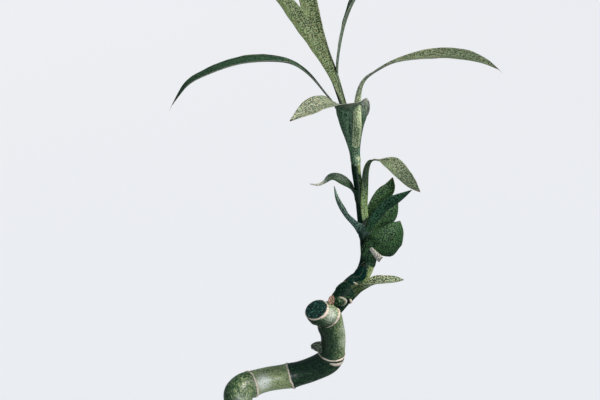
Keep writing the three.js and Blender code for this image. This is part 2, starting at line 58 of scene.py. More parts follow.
def smooth(low, high, x):
    t = min(max((x - low) / (high - low), 0.0), 1.0)
    return t * t * (3 - 2 * t)


def hump(x, middle, reach):
    return math.exp(-((x - middle) / reach) ** 2)


def pick(pairs, x):
    # value at x along a line of (x, value) pairs
    for (x0, v0), (x1, v1) in zip(pairs, pairs[1:]):
        if x <= x1:
            return lerp(v0, v1, max(x - x0, 0) / (x1 - x0))
    return pairs[-1][1]


def rough(a, b, c):
    # smooth random height between -1 and 1
    return noise.noise(Vector((a, b, c)))


def roughRound(angle, waves, c):
    # the same round a ring, where it has to close
    return rough(math.cos(angle) * waves, math.sin(angle) * waves, c)


def turns(sides):
    return [2 * math.pi * k / sides for k in range(sides)]


def around(middle, normal, side, angle, radius):
    return middle + (normal * math.cos(angle) + side * math.sin(angle)) * radius


def unbent(angle, radius, length):
    # where a point would be on a straight tube
    return radius * math.cos(angle), radius * math.sin(angle), length


# meshes

def addObject(name, data):
    item = bpy.data.objects.new(name, data)
    bpy.context.collection.objects.link(item)
    return item


def makePiece(name, points, faces, rows=(), *markNames):
    # a row holds the marks of one point, which the shaders read
    mesh = bpy.data.meshes.new(name)
    mesh.from_pydata([[c * mm for c in point] for point in points], [], faces)
    for mark, values in zip(markNames, zip(*rows)):
        wide = hasattr(values[0], "__len__")
        layer = mesh.attributes.new(mark, "FLOAT_VECTOR" if wide else "FLOAT", "POINT")
        flat = [c for value in values for c in value] if wide else values
        layer.data.foreach_set("vector" if wide else "value", flat)
    mesh.shade_smooth()
    return addObject(name, mesh)


def settle(piece, finish, slotName, *nodes):
    piece.data.materials.append(finish)
    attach(piece, "root")
    if nodes:
        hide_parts(*nodes)
    return piece


class Heap:
    # points, faces and rows of marks that end up in one mesh
    def __init__(self, *markNames):
        self.markNames, self.points, self.faces, self.rows = markNames, [], [], []

    def add(self, points, faces, rows):
        first = len(self.points)
        self.points += points
        self.faces += [[first + i for i in face] for face in faces]
        self.rows += rows

    def piece(self, name):
        return makePiece(name, self.points, self.faces, self.rows, *self.markNames)


def tubeFaces(ringCount, sides):
    faces = []
    for start in range(0, (ringCount - 1) * sides, sides):
        for i in range(sides):
            a, b = start + i, start + (i + 1) % sides
            faces.append([a, b, b + sides, a + sides])
    return faces


def closedTube(rings):
    # points and faces of a tube, with a point in the middle of each end
    sides = len(rings[0])
    points = [point for ring in rings for point in ring]
    faces = tubeFaces(len(rings), sides)
    for ring, start in ((rings[0], 0), (rings[-1], len(points) - sides)):
        points.append(sum(ring, Vector()) / sides)
        for i in range(sides):
            a, b = start + i, start + (i + 1) % sides
            faces.append([a, b, len(points) - 1] if start else [b, a, len(points) - 1])
    return points, faces


def roundTube(middles, frames, radii, sides):
    rings = [[around(middle, normal, side, angle, radius) for angle in turns(sides)]
             for middle, (_, normal, side), radius in zip(middles, frames, radii)]
    return closedTube(rings)


def spun(profile, sides):
    return [[Vector((r * math.cos(angle), r * math.sin(angle), z)) for angle in turns(sides)]
            for r, z in profile]


def roundBall():
    # points and faces of a ball of radius 1
    ball = bmesh.new()
    bmesh.ops.create_icosphere(ball, subdivisions=3, radius=1)
    points = [vertex.co.copy() for vertex in ball.verts]
    faces = [[vertex.index for vertex in face.verts] for face in ball.faces]
    ball.free()
    return points, faces


def lengthsAlong(points):
    lengths = [0.0]
    for a, b in zip(points, points[1:]):
        lengths.append(lengths[-1] + (b - a).length)
    return lengths


def bendLine(route, step):
    # an even walk along a smooth line through the route, and how far along each route point lies
    spots = [Vector(point[:3]) for point in route]
    spots = [spots[0] * 2 - spots[1]] + spots + [spots[-1] * 2 - spots[-2]]
    dense, spanSteps = [], 24
    for a, b, c, d in zip(spots, spots[1:], spots[2:], spots[3:]):
        k1 = (b - a).length ** 0.5
        k2 = k1 + (c - b).length ** 0.5
        k3 = k2 + (d - c).length ** 0.5
        for i in range(spanSteps):
            u = lerp(k1, k2, i / spanSteps)
            ab = a.lerp(b, u / k1)
            bc = b.lerp(c, (u - k1) / (k2 - k1))
            cd = c.lerp(d, (u - k2) / (k3 - k2))
            before, after = ab.lerp(bc, u / k2), bc.lerp(cd, (u - k1) / (k3 - k1))
            dense.append(before.lerp(after, (u - k1) / (k2 - k1)))
    dense.append(spots[-2])
    lengths = lengthsAlong(dense)
    pairs = list(zip(lengths, dense))
    count = round(lengths[-1] / step)
    walk = [pick(pairs, lengths[-1] * i / count) for i in range(count + 1)]
    return walk, lengths[::spanSteps], lengths[-1]


def directions(points):
    return [(points[min(i + 1, len(points) - 1)] - points[max(i - 1, 0)]).normalized()
            for i in range(len(points))]


def square(way, tangent):
    # the part of a direction that is square to the tangent
    return (way - tangent * way.dot(tangent)).normalized()


def followFrames(points):
    # (tangent, normal, side) along a line, without twist, starting with the normal to the right
    normal = Vector((1, 0, 0))
    frames = []
    for tangent in directions(points):
        normal = square(normal, tangent)
        frames.append((tangent, normal, tangent.cross(normal)))
    return frames


# shader nodes

def feed(node, sockets):
    # into a socket goes a link from another socket, a colour code or a plain value
    for key, value in sockets.items():
        if isinstance(value, bpy.types.NodeSocket):
            node.id_data.links.new(value, node.inputs[key])
        else:
            node.inputs[key].default_value = tint(value) if isinstance(value, str) else value


def newFinish(name, **sockets):
    finish = bpy.data.materials.new(name)
    finish.use_nodes = True
    shader = finish.node_tree.nodes["Principled BSDF"]
    feed(shader, {key.replace("_", " "): value for key, value in sockets.items()})
    return finish, shader


def put(kind, feeds, **settings):
    # a new node in the tree of the sockets that feed it
    tree = next(value.id_data for value in feeds.values() if isinstance(value, bpy.types.NodeSocket))
    made = tree.nodes.new("ShaderNode" + kind)
    for key, value in settings.items():
        setattr(made, key, value)
    feed(made, feeds)
    return made


def readMark(shader, name, output="Vector"):
    made = shader.id_data.nodes.new("ShaderNodeAttribute")
    made.attribute_name = name
    return made.outputs[output]


def readParts(shader, name):
    return put("SeparateXYZ", {"Vector": readMark(shader, name)}).outputs[:3]


def stretched(where, scale):
    return put("Mapping", {"Vector": where, "Scale": scale}).outputs["Vector"]


def grain(where, scale, detail):
    return put("TexNoise", {"Vector": where, "Scale": scale, "Detail": detail}).outputs["Fac"]


def spread(value, low, high, start=0.0, end=1.0):
    feeds = {"Value": value, "From Min": low, "From Max": high, "To Min": start, "To Max": end}
    return put("MapRange", feeds, interpolation_type="SMOOTHSTEP").outputs["Result"]


def times(a, b):
    return put("Math", {0: a, 1: b}, operation="MULTIPLY").outputs[0]


def weighed(*parts):
    # a sum of (value, weight) parts
    total = 0.0
    for value, weight in parts:
        total = put("Math", {0: value, 1: weight, 2: total}, operation="MULTIPLY_ADD").outputs[0]
    return total


def mixed(share, first, second):
    return put("Mix", {0: share, 6: first, 7: second}, data_type="RGBA").outputs[2]


def paint(shader, colour, **more):
    feed(shader, {"Base Color": colour, **more})


def bumped(shader, height, distance, strength):
    bump = put("Bump", {"Height": height, "Distance": distance, "Strength": strength})
    feed(shader, {"Normal": bump.outputs["Normal"]})


# camera, light and floor

studio = {
    "cameraPlace": (15.4, -798.05, 300.81),
    "cameraAim": (15.4, 0, 245),
    "lens": 87.27,
    "floorRings": (400, 1000, 1600),  # circles of points on the flat floor
    "floorReach": 2200,
    "sweepRadius": 3800,
    "sweepSteps": 24,
    "sides": 96,
    "drop": 0.2,  # the floor lies this far below the vase
    "pale": "#ebedf2",
    "paint": 0.15,  # how much of the pale colour takes light
    "glow": 0.845,
    "air": "#d2ebee",
    "airFill": 0.19,
    "suns": [  # name, towards the light, strength, width in degrees, colour
        ("keyLight", (0.8, -0.42, 0.85), 3.1, 16, "#fffaf0"),
        ("frontLight", (0.24, -1.0, 0.04), 1.1, 9, "#ffffff"),
        ("backLight", (-0.4, 1.0, 0.3), 2.4, 30, "#d8eaf0"),
    ],
}


def aim(item, place, target=(0, 0, 0)):
    item.location = Vector(place) * mm
    item.rotation_euler = (Vector(target) - Vector(place)).to_track_quat("-Z", "Y").to_euler()


def setCamera():
    lens = bpy.data.cameras.new("camera")
    lens.sensor_width = 36
    lens.lens = studio["lens"]
    lens.clip_end = 50
    camera = addObject("camera", lens)
    aim(camera, studio["cameraPlace"], studio["cameraAim"])
    bpy.context.scene.camera = camera


def setLights():
    for name, towards, strength, width, colour in studio["suns"]:
        sun = bpy.data.lights.new(name, "SUN")
        sun.energy = strength
        sun.angle = math.radians(width)
        sun.color = tint(colour)[:3]
        lamp = addObject(name, sun)
        aim(lamp, towards)
        # from behind the lamp would only draw a white rim of gloss round everything
        lamp.visible_glossy = towards[1] < 0
    world = bpy.data.worlds.new("room")
    world.use_nodes = True
    feed(world.node_tree.nodes["Background"], {"Color": studio["air"], "Strength": studio["airFill"]})
    bpy.context.scene.world = world
    bpy.context.scene.view_settings.view_transform = "Standard"


def setFloor():
    # a flat floor that sweeps up into a round wall
    reach, radius, sides = studio["floorReach"], studio["sweepRadius"], studio["sides"]
    low = -studio["drop"]
    profile = [(ring, low) for ring in studio["floorRings"]]
    for k in range(studio["sweepSteps"] + 1):
        turn = math.pi / 2 * k / studio["sweepSteps"]
        profile.append((reach + radius * math.sin(turn), low + radius * (1 - math.cos(turn))))
    points = [point for ring in spun(profile, sides) for point in ring] + [(0, 0, low)]
    faces = [face[::-1] for face in tubeFaces(len(profile), sides)]
    faces += [[i, (i + 1) % sides, len(points) - 1] for i in range(sides)]
    floor = makePiece("pale_floor", points, faces)
    dim = [c * studio["paint"] for c in tint(studio["pale"])[:3]] + [1]
    paper, _ = newFinish("palePaper", Roughness=0.9, Specular_IOR_Level=0.1, Base_Color=dim,
                         Emission_Color=studio["pale"], Emission_Strength=studio["glow"])
    floor.data.materials.append(paper)
    # the pale room shows through the glass, but lights neither the leaves nor their gloss
    floor.visible_diffuse = floor.visible_glossy = floor.visible_shadow = False


setCamera()
setLights()
setFloor()
print("camera, light and floor are set")


# cane

cane = {
    # its middle line, with a leaf scar at each "ring"
    "route": [
        (2.4, 0.9, 6.6), (2.5, 1, 29, "ring"), (2.5, 1, 54, "ring"), (0, -1, 79, "ring"),
        (-6.5, -4, 103.5, "ring"), (-15.3, -8.5, 124, "ring"), (-18.6, -10.5, 133.6),
        (-18.5, -9.8, 139.6), (-16, -6.5, 142.9), (-10.9, -2.8, 143.9, "ring"),
        (-1.2, -0.8, 145.8), (10, 0, 147.4, "ring"), (19.8, -0.7, 150.2), (28.3, -2.5, 154.5),
        (32, -4.3, 158.2), (33, -6.5, 162.6, "ring"), (33.6, -11, 169.1), (32.7, -15.5, 176.5),
        (30.4, -20.2, 183.9, "ring"), (25.4, -25.4, 186.2), (24.2, -27.4, 188.2),
    ],
    "radius": 6.7,
    "step": 0.5,
    "sides": 56,
    "ringReach": 3.2,
    "scarHeight": 0.42,
    "taper": (0.3, 3.0),  # the end narrows a little towards the cut
    # one-sided swellings and buds: where on the skin, how high, how far they reach
    "bumps": [((-25, -10, 140), 1.1, 7.5), ((-11, -8, 136.5), 1.7, 6), ((33, -7, 152.5), 0.8, 7),
              ((24.5, -18.5, 175.5), 1.2, 4), ((22, -24, 180), 0.5, 1.5), ((13, -2.5, 140), 1.3, 1.2)],
    # how light the skin is between one ring and the next, from the foot up, and the way its painted light
    # comes from: the side facing that way is painted lighter, the far side darker as painted shade
    "tonesAndLight": [
        (0.25, 0.1, 0, 0), (0.3, 0.1, 0, 0), (0.25, 0.1, 0, 0), (0.35, 0.1, 0, 0), (0.3, 0.1, 0, 0),
        (0.42, 0.1, 0, 0), (0.92, -0.15, 0, -0.1), (-0.1, 0.1, 0, -0.1), (0.22, 0.6, 0, 0),
        (0.1, 0.75, 0, 0.1)],
    # pale painted highlights and sheen on the skin, where the lamps catch it: where, how far, how much
    "bloom": [((32, -27.4, 185.4), 3.4, 0.7), ((39.2, -18, 177), 3.4, 0.4), ((39.6, -15, 169), 3.4, 0.4),
              ((-4.7, -7.4, 145), 3.6, 1.5), ((-16, -15, 136), 4.5, 0.27)],
    # how each scar sits: moved along the cane, leaning (a part of the way it faces), how much it
    # swells, and half its width
    "scars": [
        (0, (0.5, 0.2, 0), 0.5, 0.5), (0, (-0.4, 0.3, 0), 0.5, 0.5), (0, (0.5, -0.3, 0), 0.5, 0.5),
        (0, (0.3, 0.4, 0), 0.5, 0.5), (0, (-0.4, 0.2, 0.3), 0.5, 0.5), (-0.8, (0, 0, -1.1), 0.15, 0.95),
        (0, (0, 0, -0.65), 0.4, 0.6), (-1.6, (0.2, 0, 0.2), 0.5, 0.65), (-0.3, (0.3, 0, 0.3), 0.5, 0.7)],
    "doubled": (7, 2.3, (0.8, -0.3, -0.5)),  # this scar has a second line below it on this side
    "lip": ((0.9, -0.1, -0.45), 0.5, 2.6),  # the pale lip of the cut: widest this way, least and most
    # the cut's rim: how far inside the skin, how far ahead, how much of it is scar
    "rim": [(0.25, 0.15, 0.6), (0.4, 0.3, 0.6), (0.55, 0.3, 0.6), (0.75, 0.1, 0.5), (0.9, -0.1, 0.2)],
    "rimTone": 0.4,
    "endTone": 0.2,
    "dark": "#03201b",
    "mid": "#2f5234",
    "light": "#a8b585",
    # the colour of the painted highlights and sheen
    "sheenWhite": "#e9eee9",
    "scarPink": "#f0dfd3",
    "scarBrown": "#97705f",
}

caneWalk, caneMarks, caneLength = bendLine(cane["route"], cane["step"])
caneFrames = followFrames(caneWalk)
caneRings = [caneMarks[i] for i, point in enumerate(cane["route"]) if len(point) == 4]


def scarShift(ring, angle, out):
    # a leaf scar isn't quite square to the cane
    moved, lean = cane["scars"][ring][:2]
    return moved + out.dot(Vector(lean)) + 0.35 * roughRound(angle, 2, ring * 7.3)


def caneSkin(length, angle, place, out):
    # (radius, scar share) of the cane's skin at a length and an angle
    radius, scar = cane["radius"], 0.0
    for k, ring in enumerate(caneRings):
        if abs(length - ring) > 12:
            continue
        off = length - ring - scarShift(k, angle, out)
        swell, half = cane["scars"][k][2:]
        radius += swell * hump(off, 0, cane["ringReach"])
        wear = 0.75 + 0.5 * roughRound(angle, 3, k + 0.5)
        radius += cane["scarHeight"] * wear * math.exp(-(off / half) ** 4) - 0.16 * hump(off, 1.3, 0.5)
        scar = max(scar, math.exp(-(off / (half * wear * 1.3)) ** 4))
        doubled, below, way = cane["doubled"]
        if k == doubled:
            near = smooth(0.1, 0.7, out.dot(Vector(way))) * math.exp(-((off + below) / 0.7) ** 4)
            radius += 0.25 * near
            scar = max(scar, near)
    for spot, height, reach in cane["bumps"]:
        away = (place + out * radius - Vector(spot)).length
        if away < 3 * reach:
            radius += height * hump(away, 0, reach)
    narrowing, reach = cane["taper"]
    radius -= narrowing * smooth(caneLength - reach, caneLength, length)
    way, least, most = cane["lip"]
    lip = lerp(least, most, max(0, out.dot(Vector(way))) ** 2)
    lip *= 1 + 0.5 * roughRound(angle, 3, 3.3)
    paper = smooth(caneLength - lip - 0.15, caneLength - lip + 0.15, length)
    radius += 0.2 * paper
    scar = max(scar, paper)
    radius += 0.07 * roughRound(angle, 4, length * 0.12) + 0.05 * roughRound(angle, 12, length * 0.05)
    return radius, scar


def caneToneLightAndSheen(internode, place, out):
    # (how light, with painted light on the side the lean faces and painted shade on the far side; how much
    # painted sheen) at a place on the skin
    tone, *lean = cane["tonesAndLight"][internode]
    bloom = sum(share * hump((place - Vector(spot)).length, 0, reach)
                for spot, reach, share in cane["bloom"])
    return tone + out.dot(Vector(lean)), min(bloom, 1.0)


def growCane():
    rings, rows = [], []
    last = len(caneWalk) - 1
    for i, (point, (_, normal, side)) in enumerate(zip(caneWalk, caneFrames)):
        length = caneLength * i / last
        below = sum(1 for ring in caneRings if ring < length)
        rings.append([])
        for angle in turns(cane["sides"]):
            out = around(Vector(), normal, side, angle, 1)
            radius, scar = caneSkin(length, angle, point, out)
            place = point + out * radius
            rings[-1].append(place)
            rows.append((unbent(angle, radius, length), scar, *caneToneLightAndSheen(below, place, out)))
    # the cut: a thick lip round a shallow dish under the wax
    tangent, normal, side = caneFrames[-1]
    for inward, ahead, scar in cane["rim"]:
        rings.append([])
        for angle in turns(cane["sides"]):
            radius = cane["radius"] - inward + 0.12 * roughRound(angle, 3, 9.1)
            lift = ahead * (1 + 0.5 * roughRound(angle, 2, 4.7))
            rings[-1].append(around(caneWalk[-1], normal, side, angle, radius) + tangent * lift)
            rows.append((unbent(angle, radius, caneLength + inward), scar, cane["rimTone"], 0.0))
    rows += [(rows[0][0], 0.0, cane["endTone"], 0.0)] * 2
    return makePiece("bamboo_cane", *closedTube(rings), rows, "run", "scar", "tone", "bloom")


def caneFinish():
    finish, shader = newFinish("caneSkin", Specular_IOR_Level=0.5)
    run = readMark(shader, "run")
    fibre = grain(stretched(run, (1.6, 1.6, 0.12)), 1.0, 3)
    mottle = grain(run, 1.25, 3)
    patch = grain(run, 0.16, 2)
    # the tone mark, with its painted light and shade, moves the skin between the dark, mid and light
    # colours
    share = weighed((mottle, 4.0), (fibre, 0.5), (patch, 0.5), (readMark(shader, "tone", "Fac"), 1.4))
    low = mixed(spread(share, 1.9, 3.1), cane["dark"], cane["mid"])
    skin = mixed(spread(share, 2.8, 4.1), low, cane["light"])
    # painted sheen: pale highlights and sheen laid over the skin
    sheenWhite = times(readMark(shader, "bloom", "Fac"), spread(mottle, 0.3, 0.6, 0.55, 1.0))
    skin = mixed(sheenWhite, skin, cane["sheenWhite"])
    worn = mixed(spread(grain(run, 0.9, 2), 0.5, 0.72), cane["scarPink"], cane["scarBrown"])
    scar = times(spread(readMark(shader, "scar", "Fac"), 0.25, 0.7),
                 spread(grain(run, 0.5, 1), 0.25, 0.4, 0.6, 1.0))
    paint(shader, mixed(scar, skin, worn), Roughness=spread(mottle, 0.3, 0.7, 0.4, 0.28))
    bumped(shader, weighed((mottle, 1.0), (fibre, 1.0)), 0.00012, 0.6)
    return finish


settle(growCane(), caneFinish(), "cane", "cane")
print("cane done")


# wax seal on the cut

wax = {
    "radius": 6.0,
    "height": 0.85,
    "gap": 0.15,
    "sides": 64,
    # from the rim to the middle: share of the radius, share of the height
    "profile": [(0.96, 0), (1.0, 0.1), (1.0, 0.35), (0.97, 0.6), (0.92, 0.75), (0.84, 0.85), (0.74, 0.92),
                (0.62, 0.96), (0.5, 0.98), (0.36, 1.0), (0.2, 1.0), (0.08, 1.0)],
    "dark": "#041e1b",
    "light": "#3f786c",
}


def pourWax():
    tangent, normal, side = caneFrames[-1]
    foot = caneWalk[-1] + tangent * wax["gap"]
    rings, rows = [], []
    for share, lift in wax["profile"]:
        rings.append([])
        for angle in turns(wax["sides"]):
            radius = share * wax["radius"] * (1 + 0.025 * roughRound(angle, share * 3, 2.2))
            crust = 0.14 * roughRound(angle, share * 7, 5.5) + 0.08 * roughRound(angle, share * 19, 1.5)
            height = lift * (wax["height"] + crust)
            rings[-1].append(around(foot, normal, side, angle, radius) + tangent * height)
            rows.append((unbent(angle, radius, height),))
    rows += [((0, 0, 0),), ((0, 0, wax["height"]),)]
    return makePiece("wax_cap", *closedTube(rings), rows, "run")


def waxFinish():
    finish, shader = newFinish("waxSkin", Roughness=0.45, Specular_IOR_Level=0.4)
    crumbs = grain(readMark(shader, "run"), 1.1, 3)
    paint(shader, mixed(spread(crumbs, 0.48, 0.7), wax["dark"], wax["light"]))
    bumped(shader, crumbs, 0.0006, 0.8)
    return finish


settle(pourWax(), waxFinish(), "wax", "cut_seal")
print("wax seal done")


# the shoot's stem

shoot = {
    "route": [
        (31, -20.6, 184.6), (33.5, -18.8, 187.6), (36.6, -16.7, 191.3), (40.2, -14, 195.5),
        (44.5, -12, 199.2), (48.7, -10, 203.9), (51.4, -8.5, 209.2), (52.6, -7.5, 214.3),
        (52, -6.8, 220.8), (50.7, -6.2, 227.9), (49.3, -5.5, 237.2), (48.4, -4.8, 245.3),
        (47.1, -4, 254.6), (46.1, -3.5, 261.7), (45.7, -3, 268.2), (44.6, -2.6, 276.4),
        (43.2, -2.3, 284.6), (41.1, -2, 293.3), (39.7, -2, 297.7),
    ],
    # the stem's radius at a height
    "radii": [
        (185, 4.7), (193.8, 4.6), (194.8, 5.1), (198, 4.8), (203, 4.2), (214, 4.2), (220, 3.6), (228, 3.25),
        (237, 2.8), (246, 2.5), (268, 2.4), (277, 2.2), (285, 1.9), (293, 1.5), (297.7, 0.8)],
    "step": 0.4,
    "sides": 44,
    # sheath edges: height on its own side, how far it drops on the far side, which side it is
    # (degrees), how far it stands out, and how pale it is
    "sheaths": [(200, 5, -50, 0.7, 0.7), (216, 12, -20, 0.25, 0.5), (236, 16, -30, 0.2, 0.25),
                (252, 14, 170, 0.2, 0.2), (276, 12, 100, 0.2, 0.2)],
    # painted light: how much lighter the side that faces the lamps is painted at a height; the far side is
    # left nearly black as painted shade
    "glow": [(188, 0.1), (199, 0.3), (206, 1.2), (214, 1.1), (220, 0.6), (236, 0.5), (256, 0.8),
             (266, 1.7), (285, 2.1)],
    # the angle of the side painted lighter, in degrees (0 is to the right)
    "paintedLightSide": 0,
    "endTone": 0.5,
    # buds at the foot, and last a painted glint: place, size, how far forward and how wide the pale rim is,
    # how light the rest. The glint is a small ball painted pale and light on its front, a painted highlight
    # on the stem
    "buds": [((36.9, -22, 191.9), (4, 2.5, 2.7), -0.42, 0.2, 0.3),
             ((42.2, -18.6, 191.5), (1.5, 1.4, 1.4), -0.6, 0.4, -0.3),
             ((44.9, -17.3, 197.2), (0.5, 0.4, 0.5), -1.0, 1.0, 1.0)],
    "dark": "#031c18",
    "mid": "#27482f",
    "light": "#97a571",
    "edge": "#d9cdbd",
}
shootWalk, _, shootLength = bendLine(shoot["route"], shoot["step"])
shootFrames = followFrames(shootWalk)


def growShoot():
    rings, rows = [], []
    last = len(shootWalk) - 1
    paintedLightSide = math.radians(shoot["paintedLightSide"])
    for i, (point, (_, normal, side)) in enumerate(zip(shootWalk, shootFrames)):
        length = shootLength * i / last
        rings.append([])
        for angle in turns(shoot["sides"]):
            radius = pick(shoot["radii"], point.z)
            edge = 0.0
            for top, drop, facing, stand, pale in shoot["sheaths"]:
                rim = top - drop * (1 - math.cos(angle - math.radians(facing))) / 2
                under = rim + 0.5 * roughRound(angle, 2, top) - point.z
                radius += stand * smooth(-0.2, 0.2, under) * (1 - smooth(2, 14, under))
                edge = max(edge, pale * math.exp(-((under - 0.15) / 0.3) ** 4))
            radius += 0.05 * roughRound(angle, 5, length * 0.08)
            # painted light: the side at that angle is painted lighter by the glow at this height; the far
            # side stays dark as painted shade
            tone = pick(shoot["glow"], point.z) * max(0, math.cos(angle - paintedLightSide)) ** 1.4
            rings[-1].append(around(point, normal, side, angle, radius))
            rows.append((unbent(angle, radius, length), edge, tone))
    rows += [(rows[i][0], 0.0, shoot["endTone"]) for i in (0, -1)]
    heap = Heap("run", "edge", "tone")
    heap.add(*closedTube(rings), rows)
    ball, faces = roundBall()
    # the last of these is no bud but a painted glint: a small ball painted pale and light
    for place, size, rim, reach, tone in shoot["buds"]:
        points = [Vector(place) + spot * Vector(size) for spot in ball]
        edges = [hump(spot.y, rim, reach) * smooth(-0.1, 0.3, spot.x + 0.2 * spot.z) for spot in ball]
        heap.add(points, faces, [(point, edge, tone) for point, edge in zip(points, edges)])
    return heap.piece("shoot")


def shootFinish():
    finish, shader = newFinish("shootSkin", Roughness=0.42, Specular_IOR_Level=0.15)
    run = readMark(shader, "run")
    fibre = grain(stretched(run, (2.2, 2.2, 0.1)), 1.0, 3)
    mottle = grain(run, 1.3, 3)
    # the tone mark carries the painted light and shade of the stem's sides
    share = weighed((mottle, 3.6), (fibre, 0.7), (readMark(shader, "tone", "Fac"), 1.5))
    low = mixed(spread(share, 1.9, 3.1), shoot["dark"], shoot["mid"])
    skin = mixed(spread(share, 2.6, 3.9), low, shoot["light"])
    # pale sheath edges and bud rims in the edge colour, and the painted glint too
    edge = times(readMark(shader, "edge", "Fac"), spread(mottle, 0.3, 0.5, 0.35, 0.9))
    paint(shader, mixed(edge, skin, shoot["edge"]))
    bumped(shader, weighed((mottle, 1.0), (fibre, 1.0)), 0.0001, 0.6)
    return finish


settle(growShoot(), shootFinish(), "shoot", "shoot_stem")
print("shoot done")


# leaves

leafForm = {
    "thickness": 0.42,
    "across": 18,
    "step": 0.9,
    "fewest": 26,
    "lifts": (-0.5, 0.3, 0.55),  # from the stem's skin to a leaf's middle: it rises out of the stem
    "rib": 0.09,
    "crease": 0.06,
    "stalk": 0.24,  # the share of a leaf that has its stalk's colours
    "hairRadius": 0.14,
    "hairSteps": 8,
    # the colour of painted shade on the leaves
    "shaded": "#0f2f24",
    "dryDark": "#7f847a",
    "dryLight": "#cfd2c9",
    "tip": "#4f3a30",
}
